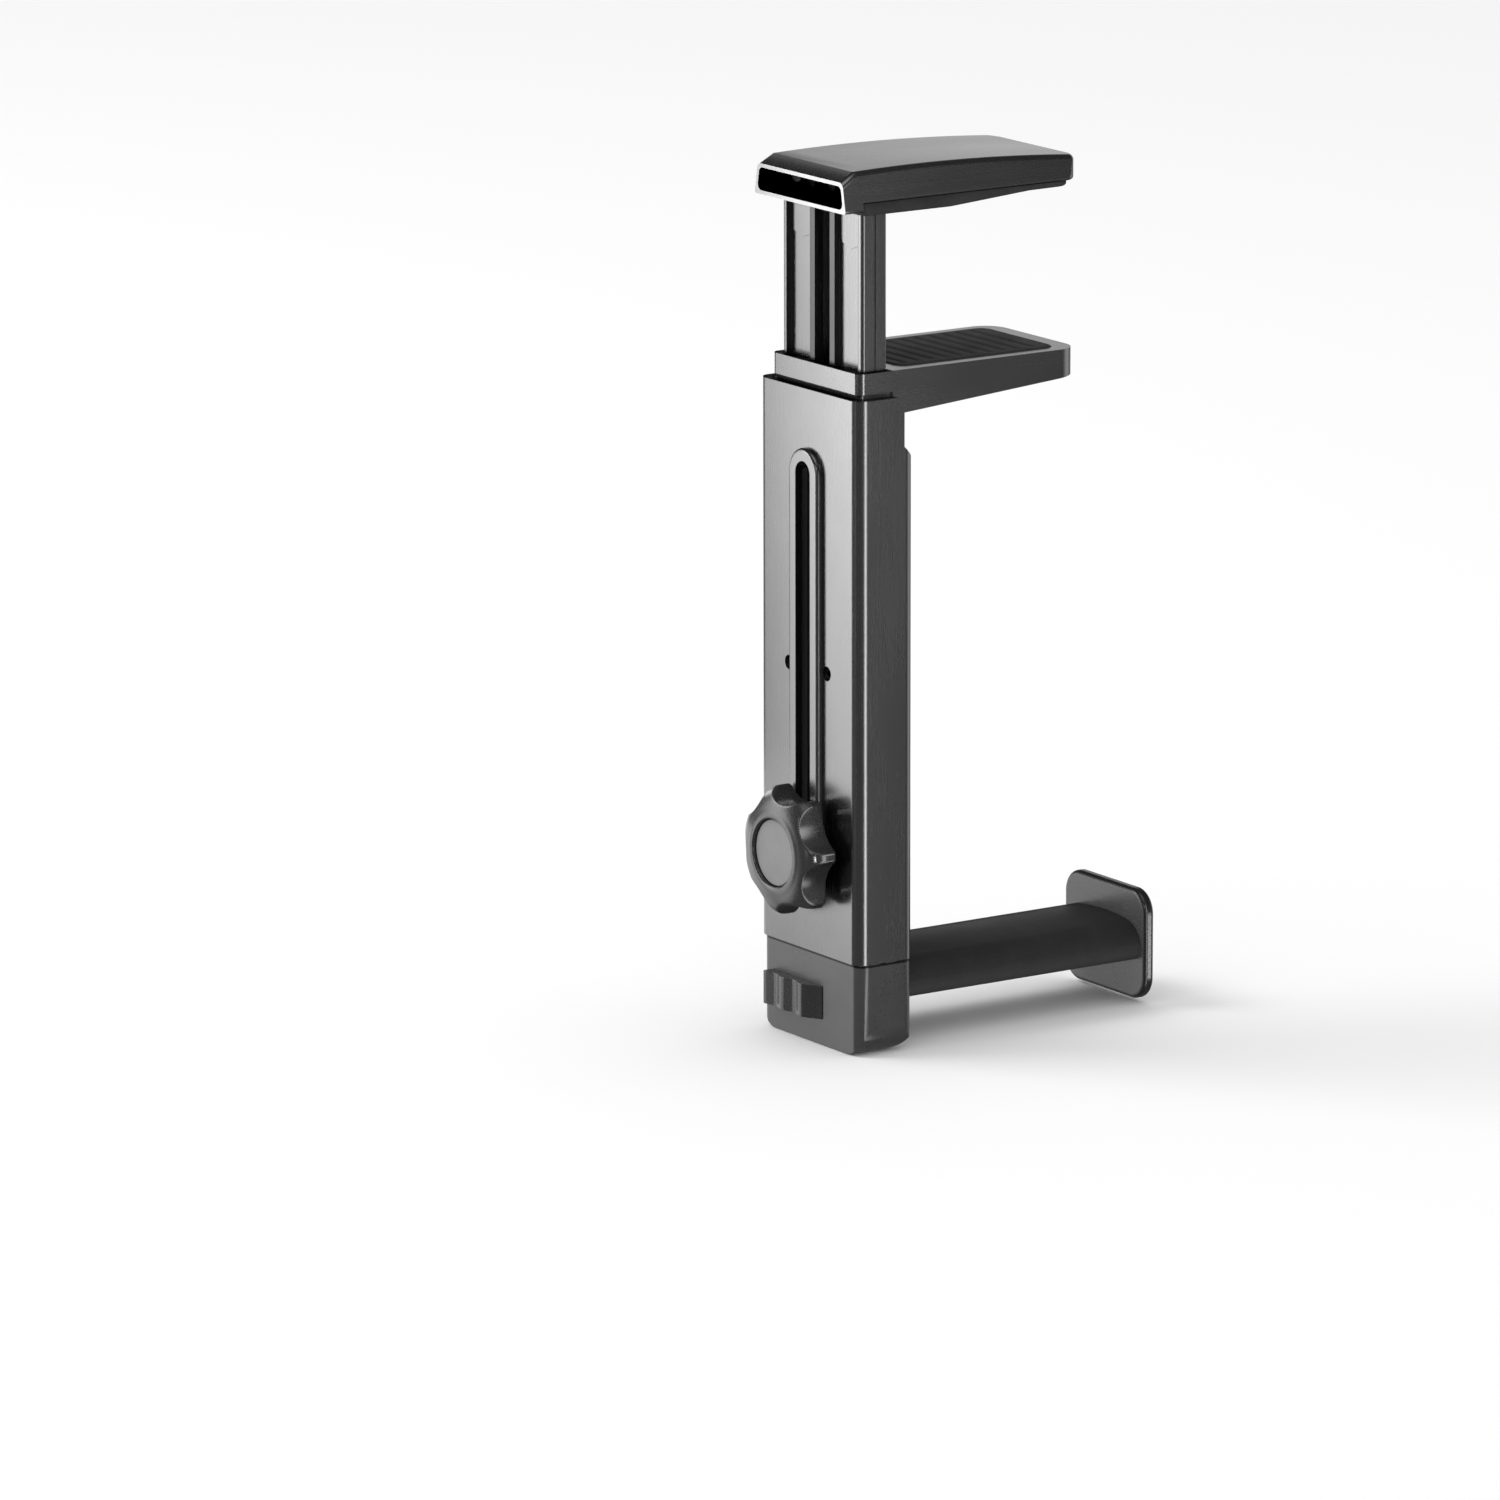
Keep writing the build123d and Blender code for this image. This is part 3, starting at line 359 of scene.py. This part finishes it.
edge_width = {
    "main_body": 0.16, "lower_jaw": 0.16, "rail": 0.12, "upper_jaw": 0.12, "slot_liner": 0.1,
    "end_cap": 0.24, "release_slider": 0.12, "hook_arm": 0.2, "rail_keepers": 0.04,
    "jaw_bracket": 0.2, "hinge_carrier": 0.25, "latch_bolt": 0.15, "rail_glides": 0.12,
    "guide_plate": 0.15, "knob_insert": 0.1,
}
for name, width in edge_width.items():
    modifiers = nodes[name].modifiers
    weld = modifiers.new("weld", "WELD")
    weld.merge_threshold = 0.002 * MM
    flat = modifiers.new("flat", "DECIMATE")
    flat.decimate_type = "DISSOLVE"
    flat.angle_limit = math.radians(0.6)
    bevel = modifiers.new("bevel", "BEVEL")
    bevel.width = width * MM
    bevel.segments = 3
    bevel.limit_method = "ANGLE"
    bevel.angle_limit = math.radians(35)
    bevel.use_clamp_overlap = True
    even = modifiers.new("even", "WEIGHTED_NORMAL")
    even.keep_sharp = False


# ---- Pieces that replace CAD nodes ----

def new_piece(name, build, finish, body, stands_for):
    """Makes a smooth mesh piece from a bmesh builder, gives it a finish and puts it on a body."""
    mesh = bpy.data.meshes.new(name)
    bm = bmesh.new()
    build(bm)
    bmesh.ops.remove_doubles(bm, verts=bm.verts, dist=0.0005 * MM)
    bmesh.ops.recalc_face_normals(bm, faces=bm.faces)
    for face in bm.faces:
        face.smooth = True
    bm.to_mesh(mesh)
    bm.free()
    mesh.materials.append(finishes[finish])
    piece = bpy.data.objects.new(name, mesh)
    scene.collection.objects.link(piece)
    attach(piece, body)
    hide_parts(stands_for)
    return piece


def join_rings(bm, rings):
    """Skin over a row of closed rings, with a face at both ends."""
    sides = len(rings[0])
    for one, two in zip(rings, rings[1:]):
        for i in range(sides):
            k = (i + 1) % sides
            bm.faces.new((one[i], one[k], two[k], two[i]))
    bm.faces.new(rings[0])
    bm.faces.new(list(reversed(rings[-1])))


# ---- Knob: seven soft lobes, a rounded ring and a seat for the disc (in millimetres) ----

knob_back = box_mm("knob")[1].y
disc_low, disc_high = box_mm("knob_disc")
knob_z = (disc_low.z + disc_high.z) / 2
LOBES = 7
COLUMNS_PER_LOBE = 44
FIRST_LOBE = math.radians(4.0)
KNOB_RADIUS = 12.1
BACK_EDGE = 0.5
INSERT_RADIUS = 3.6
INSERT_DEPTH = 4.2
INSERT_CHAMFER = 0.25
SEAT_RADIUS = 6.3
FLUTE_CENTRE = 16.3
FLUTE_RADIUS = 6.8
FLUTE_BLEND = 0.55
FLUTE_END = 8.5
NO_FLUTE = 20.0


def soft_min(a, b, k):
    """Smallest of a and b, blended over k."""
    h = max(k - abs(a - b), 0.0) / k
    return min(a, b) - h * h * k * 0.25


def flute_reach(angle):
    """How far out the knob's fluted outline lies at an angle."""
    step = 2 * math.pi / LOBES
    off = (angle - FIRST_LOBE) % step - step / 2
    side = FLUTE_CENTRE * math.sin(off)
    if abs(side) >= FLUTE_RADIUS:
        return NO_FLUTE
    return FLUTE_CENTRE * math.cos(off) - math.sqrt(FLUTE_RADIUS ** 2 - side ** 2)


def knob_profile():
    """(radius, distance ahead of the knob's back) rows, from the insert's bore to the disc's seat."""
    rows = [(INSERT_RADIUS, INSERT_DEPTH), (INSERT_RADIUS, INSERT_CHAMFER),
            (INSERT_RADIUS + INSERT_CHAMFER, 0.0)]
    rows += [(radius, 0.0) for radius in (5.0, 6.5, 8.0, 9.2, 10.2, 11.0)]
    for i in range(7):
        turn = math.pi / 2 * i / 6
        rows.append((KNOB_RADIUS - BACK_EDGE * (1 - math.sin(turn)), BACK_EDGE * (1 - math.cos(turn))))
    rows += [(KNOB_RADIUS, BACK_EDGE + i * 0.22) for i in range(1, 7)]
    # Dome from the rim to the ring round the disc: a curve that bends towards one point.
    rim, bend, inner = (KNOB_RADIUS, 2.0), (11.95, 5.25), (8.0, 5.82)
    for i in range(1, 33):
        s = i / 32
        weights = (1 - s) ** 2, 2 * s * (1 - s), s * s
        rows.append(tuple(sum(w * v for w, v in zip(weights, values)) for values in zip(rim, bend, inner)))
    # The ring's rounded top, then the wall and the floor of the seat.
    rows += [(7.6, 5.93), (7.2, 5.985), (6.9, 6.0), (6.62, 5.99), (6.45, 5.94), (6.34, 5.84)]
    rows += [(SEAT_RADIUS, 5.7), (SEAT_RADIUS, 5.2), (SEAT_RADIUS, 4.66), (SEAT_RADIUS - 0.1, 4.6)]
    return rows


def build_knob(bm):
    """Rings of points round the knob's axis, drawn in where a flute passes."""
    columns = LOBES * COLUMNS_PER_LOBE
    rings = []
    for radius, ahead in knob_profile():
        ring = []
        for column in range(columns):
            angle = 2 * math.pi * column / columns
            reach = soft_min(radius, flute_reach(angle), FLUTE_BLEND) if radius > FLUTE_END else radius
            place = Vector((reach * math.cos(angle), knob_back - ahead, knob_z + reach * math.sin(angle)))
            ring.append(bm.verts.new(place * MM))
        rings.append(ring)
    join_rings(bm, rings)


knob = new_piece("knob_grip", build_knob, "knob_plastic", "knob", "knob")


# ---- Rubber pads: soft-edged, with moulded grip grooves (in millimetres) ----

SOFT_EDGE = 0.45
GROOVE_PITCH = 3.1
GROOVE_DEPTH = 0.32
GROOVE_HALF = 0.62
FIRST_GROOVE = 2.4
LAST_GROOVE = 2.0
ROW_STEP = 0.3
COLUMN_STEP = 0.9


class PadPlan:
    """Outline of a pad: half its width, its two ends in y, and the corner radius at each end."""

    def __init__(self, half, start, end, start_corner, end_corner):
        self.half, self.start, self.end = half, start, end
        self.start_corner, self.end_corner = start_corner, end_corner

    def near_end(self, y):
        """Distance to the nearer end, and the corner radius there."""
        if y - self.start < self.end - y:
            return y - self.start, self.start_corner
        return self.end - y, self.end_corner

    def half_width(self, y):
        inside_y, corner = self.near_end(y)
        if inside_y >= corner:
            return self.half
        return self.half - corner + math.sqrt(corner ** 2 - (corner - inside_y) ** 2)

    def depth(self, x, y):
        """How far a point lies inside the outline."""
        inside_y, corner = self.near_end(y)
        inside_x = self.half - abs(x)
        if inside_x < corner and inside_y < corner:
            return corner - math.hypot(corner - inside_x, corner - inside_y)
        return min(inside_x, inside_y)

    def drop(self, x, y):
        """How far the gripping face lies back at a point, for its soft edge and its grooves."""
        depth = self.depth(x, y)
        drop = SOFT_EDGE - math.sqrt(max(0.0, SOFT_EDGE ** 2 - max(0.0, SOFT_EDGE - depth) ** 2))
        phase = (y - self.start - FIRST_GROOVE) / GROOVE_PITCH
        near = abs(phase - round(phase)) * GROOVE_PITCH
        last = (self.end - self.start - FIRST_GROOVE - LAST_GROOVE) / GROOVE_PITCH
        if near < GROOVE_HALF and 0 <= round(phase) <= last:
            fade = min(1.0, max(0.0, (depth - 1.3) / 0.8))
            drop += GROOVE_DEPTH * fade * (0.5 + 0.5 * math.cos(math.pi * near / GROOVE_HALF))
        return drop


def spread(low, high, step):
    """Positions from low to high, crowded in the soft edge at both ends."""
    ends = [SOFT_EDGE * share for share in (0.0, 0.03, 0.1, 0.22, 0.4, 0.65)]
    length = high - low - 2 * SOFT_EDGE
    count = max(1, round(length / step))
    inner = [low + SOFT_EDGE + length * i / count for i in range(count + 1)]
    return [low + e for e in ends] + inner + [high - e for e in reversed(ends)]


def build_pad(bm, plan, face, back, outward, hole=None):
    """Pad between its gripping face at z = face(y) and its bonded face at z = back(y).

    outward is the side that grips, 1 or -1 along z, and hole is (half width, start, end) of an opening.
    """
    rows = spread(plan.start, plan.end, ROW_STEP)
    columns = spread(-plan.half, plan.half, COLUMN_STEP)
    if hole:
        hole_half, hole_start, hole_end = hole
        rows = sorted(rows + [hole_start, hole_end])
        columns = sorted([c for c in columns if abs(abs(c) - hole_half) > 0.2] + [-hole_half, hole_half])
    fronts, backs = [], []
    for y in rows:
        across = [c / plan.half * plan.half_width(y) for c in columns]
        front_row = [Vector((x, y, face(y) - outward * plan.drop(x, y))) for x in across]
        fronts.append([bm.verts.new(place * MM) for place in front_row])
        backs.append([bm.verts.new(Vector((x, y, back(y))) * MM) for x in across])

    def is_solid(i, j):
        """Whether the cell that starts at row i and column j belongs to the pad."""
        if not (0 <= i < len(rows) - 1 and 0 <= j < len(columns) - 1):
            return False
        if not hole:
            return True
        x, y = (columns[j] + columns[j + 1]) / 2, (rows[i] + rows[i + 1]) / 2
        return not (abs(x) < hole_half and hole_start < y < hole_end)

    cells = [(i, j) for i in range(len(rows) - 1) for j in range(len(columns) - 1) if is_solid(i, j)]
    for i, j in cells:
        for grid in (fronts, backs):
            bm.faces.new((grid[i][j], grid[i][j + 1], grid[i + 1][j + 1], grid[i + 1][j]))
        # Each neighbouring cell, with the two corners that it shares with this one.
        neighbours = (((i - 1, j), (i, j), (i, j + 1)), ((i + 1, j), (i + 1, j), (i + 1, j + 1)),
                      ((i, j - 1), (i, j), (i + 1, j)), ((i, j + 1), (i, j + 1), (i + 1, j + 1)))
        for cell, (p, q), (r, s) in neighbours:
            if not is_solid(*cell):
                bm.faces.new((fronts[p][q], fronts[r][s], backs[r][s], backs[p][q]))


def build_low_pad(bm):
    """Pad on the lower jaw, which grips upwards."""
    plan = PadPlan(low_pad_high.x, low_pad_low.y, low_pad_high.y, 2.4, 2.4)
    build_pad(bm, plan, lambda y: low_pad_high.z, lambda y: low_pad_low.z, 1)


RAMP_START = 13.0
RAMP_END = 30.0
RAMP_RISE = 1.25
TIP_RISE = 0.1
SOLE_SLOPE = 0.0021


def high_pad_face(y):
    """Gripping side of the upper pad: flat near the rail, then rising to the tip."""
    if y < RAMP_START:
        return DESK_TOP
    if y < RAMP_END:
        return DESK_TOP + RAMP_RISE * (y - RAMP_START) / (RAMP_END - RAMP_START)
    return DESK_TOP + RAMP_RISE + TIP_RISE * (y - RAMP_END) / (high_pad_high.y - RAMP_END)


def high_pad_back(y):
    """Side of the upper pad that is bonded to the jaw's sole."""
    return high_pad_high.z + SOLE_SLOPE * (y - high_pad_low.y)


def build_high_pad(bm):
    """Pad on the upper jaw, which grips downwards and lets the rail through."""
    plan = PadPlan(high_pad_high.x, high_pad_low.y, high_pad_high.y, 0.6, 3.2)
    rail_hole = (rail_high.x + 0.15, rail_low.y - 0.1, rail_high.y + 0.2)
    build_pad(bm, plan, high_pad_face, high_pad_back, -1, rail_hole)


new_piece("lower_pad", build_low_pad, "rubber_pad", "frame", "lower_jaw_pad")
new_piece("upper_pad", build_high_pad, "rubber_pad", "jaw", "upper_jaw_pad")


# ---- Latch spring: a coil wound inside the CAD spring's box (in metres) ----

spring_low, spring_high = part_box("latch_spring")
WIRE_RADIUS = 0.22 * MM
COILS = 6
STEPS_PER_COIL = 40
WIRE_SIDES = 12


def build_spring(bm):
    """Round wire wound along X inside the CAD spring's box."""
    centre = (spring_low + spring_high) / 2
    radius = (spring_high.z - spring_low.z) / 2 - WIRE_RADIUS
    start, end = spring_low.x + WIRE_RADIUS, spring_high.x - WIRE_RADIUS
    forward = Vector((1, 0, 0))
    steps = COILS * STEPS_PER_COIL
    rings = []
    for i in range(steps + 1):
        share = i / steps
        turn = 2 * math.pi * COILS * share
        spoke = Vector((0, math.cos(turn), math.sin(turn)))
        middle = Vector((start + (end - start) * share, centre.y, centre.z)) + spoke * radius
        ring = []
        for j in range(WIRE_SIDES):
            angle = 2 * math.pi * j / WIRE_SIDES
            offset = spoke * math.cos(angle) + forward * math.sin(angle)
            ring.append(bm.verts.new(middle + offset * WIRE_RADIUS))
        rings.append(ring)
    join_rings(bm, rings)


spring = new_piece("spring_coil", build_spring, "steel", "frame", "latch_spring")
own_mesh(spring)


# ---- Stage helpers ----

def toward(azimuth, elevation):
    """Unit vector from the object to an azimuth (0 in front, 90 at +X) and an elevation, in degrees."""
    turn, rise = math.radians(azimuth), math.radians(elevation)
    return Vector((math.sin(turn) * math.cos(rise), -math.cos(turn) * math.cos(rise), math.sin(rise)))


def add_object(name, data):
    """A new object in the scene."""
    thing = bpy.data.objects.new(name, data)
    scene.collection.objects.link(thing)
    return thing


def flat_panel(name, corners, material):
    """A single face with a material."""
    mesh = bpy.data.meshes.new(name)
    mesh.from_pydata(corners, [], [(0, 1, 2, 3)])
    mesh.materials.append(material)
    return add_object(name, mesh)


def look_along(thing, direction):
    """Turns a lamp to shine along a direction."""
    thing.rotation_mode = "QUATERNION"
    thing.rotation_quaternion = direction.to_track_quat("-Z", "Y")


look = -toward(56.505, 12.759)


# ---- Floor and world ----

FLOOR_REACH = 6
FLOOR_DROP = 0.05 * MM


def add_floor():
    """Pale floor just under the object, unseen by reflections."""
    material, tree = new_material("pale_floor")
    tree.add("OutputMaterial", {"Surface": tree.add("BsdfDiffuse", {"Color": grey(0.86)})})
    level = cad_low.z - FLOOR_DROP
    square = ((-1, -1), (1, -1), (1, 1), (-1, 1))
    corners = [(x * FLOOR_REACH, y * FLOOR_REACH, level) for x, y in square]
    floor = flat_panel("floor", corners, material)
    floor.visible_glossy = False


# Soft round lights in the reflections. Each is full within the inner angle and gone beyond the outer
# one: azimuth, elevation, inner and outer angle in degrees, and strength.
STUDIO_LOBES = (
    (-134, 6, 12, 32, 0.42),
    (-108, -2, 8, 26, 1.0),
    (60, 70, 12, 30, 0.9),
    (172, 0, 8, 28, 0.8),
    (34, 21, 3.0, 5.5, 12.0),
)


def add_world():
    """White to the camera, nearly even to matt surfaces, and a dark studio with lobes to reflections."""
    world = bpy.data.worlds.new("studio")
    scene.world = world
    world.use_nodes = True
    tree = Tree(world.node_tree)
    direction = tree.add("TexCoord").outputs["Generated"]
    upward = tree.along("Z", direction)
    reflected = tree.remap(upward, -0.4, 0.3, 0.15, 0.035)
    for azimuth, elevation, inner, outer, strength in STUDIO_LOBES:
        facing = tree.dot(direction, tuple(toward(azimuth, elevation)))
        full, gone = math.cos(math.radians(inner)), math.cos(math.radians(outer))
        glow = tree.remap(facing, gone, full, 0.0, strength, smooth=True)
        reflected = tree.compute("ADD", reflected, glow)
    lit = tree.remap(upward, -0.2, 0.8, 0.75, 1.0)
    ray = tree.add("LightPath")
    bounced = tree.choose(ray.outputs["Is Glossy Ray"], lit, reflected)
    strength = tree.choose(ray.outputs["Is Camera Ray"], bounced, 1.0)
    background = tree.add("Background", {"Color": grey(1.0), "Strength": strength})
    tree.add("OutputWorld", {"Surface": background})


add_floor()
add_world()


# ---- Studio cards, seen only in reflections ----

def mirrored(start, normal, distance):
    """The point that a flat face at start mirrors towards the camera from this distance."""
    n = Vector(normal)
    return start + (look - 2 * look.dot(n) * n) * distance


def card_glow(name, low, high):
    """Glowing material: low and high are the (left, right) brightness at a card's foot and head."""
    material, tree = new_material(name)
    spot = tree.add("TexCoord").outputs["Object"]
    across = tree.compute("ADD", tree.along("X", spot), 0.5)
    upward = tree.compute("ADD", tree.along("Y", spot), 0.5)
    foot = tree.remap(across, 0.3, 0.7, *low, smooth=True)
    head = tree.remap(across, 0.3, 0.7, *high, smooth=True)
    rise = tree.product(tree.compute("SUBTRACT", head, foot), upward)
    glow = tree.add("Emission", {"Color": grey(1.0), "Strength": tree.compute("ADD", foot, rise)})
    tree.add("OutputMaterial", {"Surface": glow})
    return material


def card(name, centre, target, size, low, high):
    """A glowing card at centre that faces target."""
    ahead = (target - centre).normalized()
    side = ahead.cross(Vector((0, 0, 1))).normalized()
    up = side.cross(ahead)
    corners = ((-0.5, -0.5, 0), (0.5, -0.5, 0), (0.5, 0.5, 0), (-0.5, 0.5, 0))
    panel = flat_panel(name, corners, card_glow(name, low, high))
    turn = Matrix((side * size[0], up * size[1], -ahead)).transposed().to_4x4()
    panel.matrix_world = Matrix.Translation(centre) @ turn
    panel.visible_camera = False
    panel.visible_diffuse = False
    panel.visible_shadow = False
    panel.visible_transmission = False


FRONT = (0, -1, 0)
body_front = Vector((0, -8.3, -45)) * MM
plate_front = Vector((0, 58, -114)) * MM
body_corner = Vector((14, -6.1, -50)) * MM
beside_corner = body_corner + (toward(101, 0) - Vector((0, 0, 0.2))) * 0.3
card("front_card", mirrored(body_front, FRONT, 0.13), body_front, (0.085, 0.215), (0.05, 0.7), (0.4, 5.9))
card("end_card", mirrored(plate_front, FRONT, 0.15), plate_front, (0.09, 0.09), (0.3, 0.5), (1.6, 1.8))
card("straight_card", Vector((0, -3, -0.15)), body_front, (0.5, 0.6), (0.9, 1.3), (1.5, 2.2))
card("edge_card", beside_corner, body_corner, (0.10, 0.5), (3.6, 3.6), (3.6, 3.6))


# ---- Lamps ----

def group(name, *pieces):
    """A collection for light linking."""
    made = bpy.data.collections.new(name)
    for piece in pieces:
        made.objects.link(piece)
    return made


def accent(name, receivers, spot, direction, distance, size, radiance, blockers=None):
    """A square lamp for some pieces only, away from spot in an (azimuth, elevation) direction."""
    lamp = bpy.data.lights.new(name, "AREA")
    lamp.size = size
    lamp.energy = radiance * math.pi * size ** 2
    holder = add_object(name, lamp)
    away = toward(*direction)
    holder.location = spot + away * distance
    look_along(holder, -away)
    holder.light_linking.receiver_collection = receivers
    if blockers:
        holder.light_linking.blocker_collection = blockers


def add_key():
    """Large soft lamp at the front left, for the shadow on the floor."""
    lamp = bpy.data.lights.new("key", "AREA")
    lamp.energy = 9.0
    lamp.size = 0.7
    holder = add_object("key", lamp)
    holder.location = (-0.7, -0.8, 1.1)
    look_along(holder, Vector((0, 0, -0.04)) - holder.location)
    holder.visible_glossy = False


knob_only = group("knob_only", knob, nodes["knob_disc"])
liner_only = group("liner_only", nodes["slot_liner"])
plate_only = group("plate_only", nodes["end_plate"])
arm_only = group("arm_only", nodes["hook_arm"])
knob_side = Vector((12, -12, -89)) * MM
liner_side = Vector((4.6, -9, -50)) * MM
plate_side = Vector((12.8, 58.5, -114)) * MM
arm_side = Vector((11.6, 30, -115)) * MM
accent("flute_light", knob_only, knob_side, (130, 32), 0.3, 0.15, 4.0)
accent("low_flute_light", knob_only, knob_side, (148, -48), 0.3, 0.18, 4.0)
accent("lobe_light", knob_only, knob_side, (48, -7), 0.3, 0.03, 45.0)
accent("ring_light", knob_only, knob_side, (-80, 25), 0.3, 0.15, 4.0)
accent("liner_light", liner_only, liner_side, (98, -12), 0.5, 0.16, 3.0, liner_only)
accent("plate_light", plate_only, plate_side, (123, -12), 0.3, 0.05, 14.0, plate_only)
accent("arm_light", arm_only, arm_side, (123, -50), 0.4, 0.3, 3.0, arm_only)
add_key()


# ---- Camera ----

scene.view_settings.view_transform = "Standard"
scene.view_settings.look = "None"

camera_data = bpy.data.cameras.new("camera")
camera_data.sensor_width = 36
camera_data.lens = 245.8
camera_data.clip_start = 0.05
camera_data.clip_end = 50
camera = add_object("camera", camera_data)
camera.location = (1.4992, -1.0132, 0.3375)
camera.rotation_mode = "QUATERNION"
roll = Matrix.Rotation(math.radians(-0.12), 4, "Z").to_quaternion()
camera.rotation_quaternion = look.to_track_quat("-Z", "Y") @ roll
scene.camera = camera
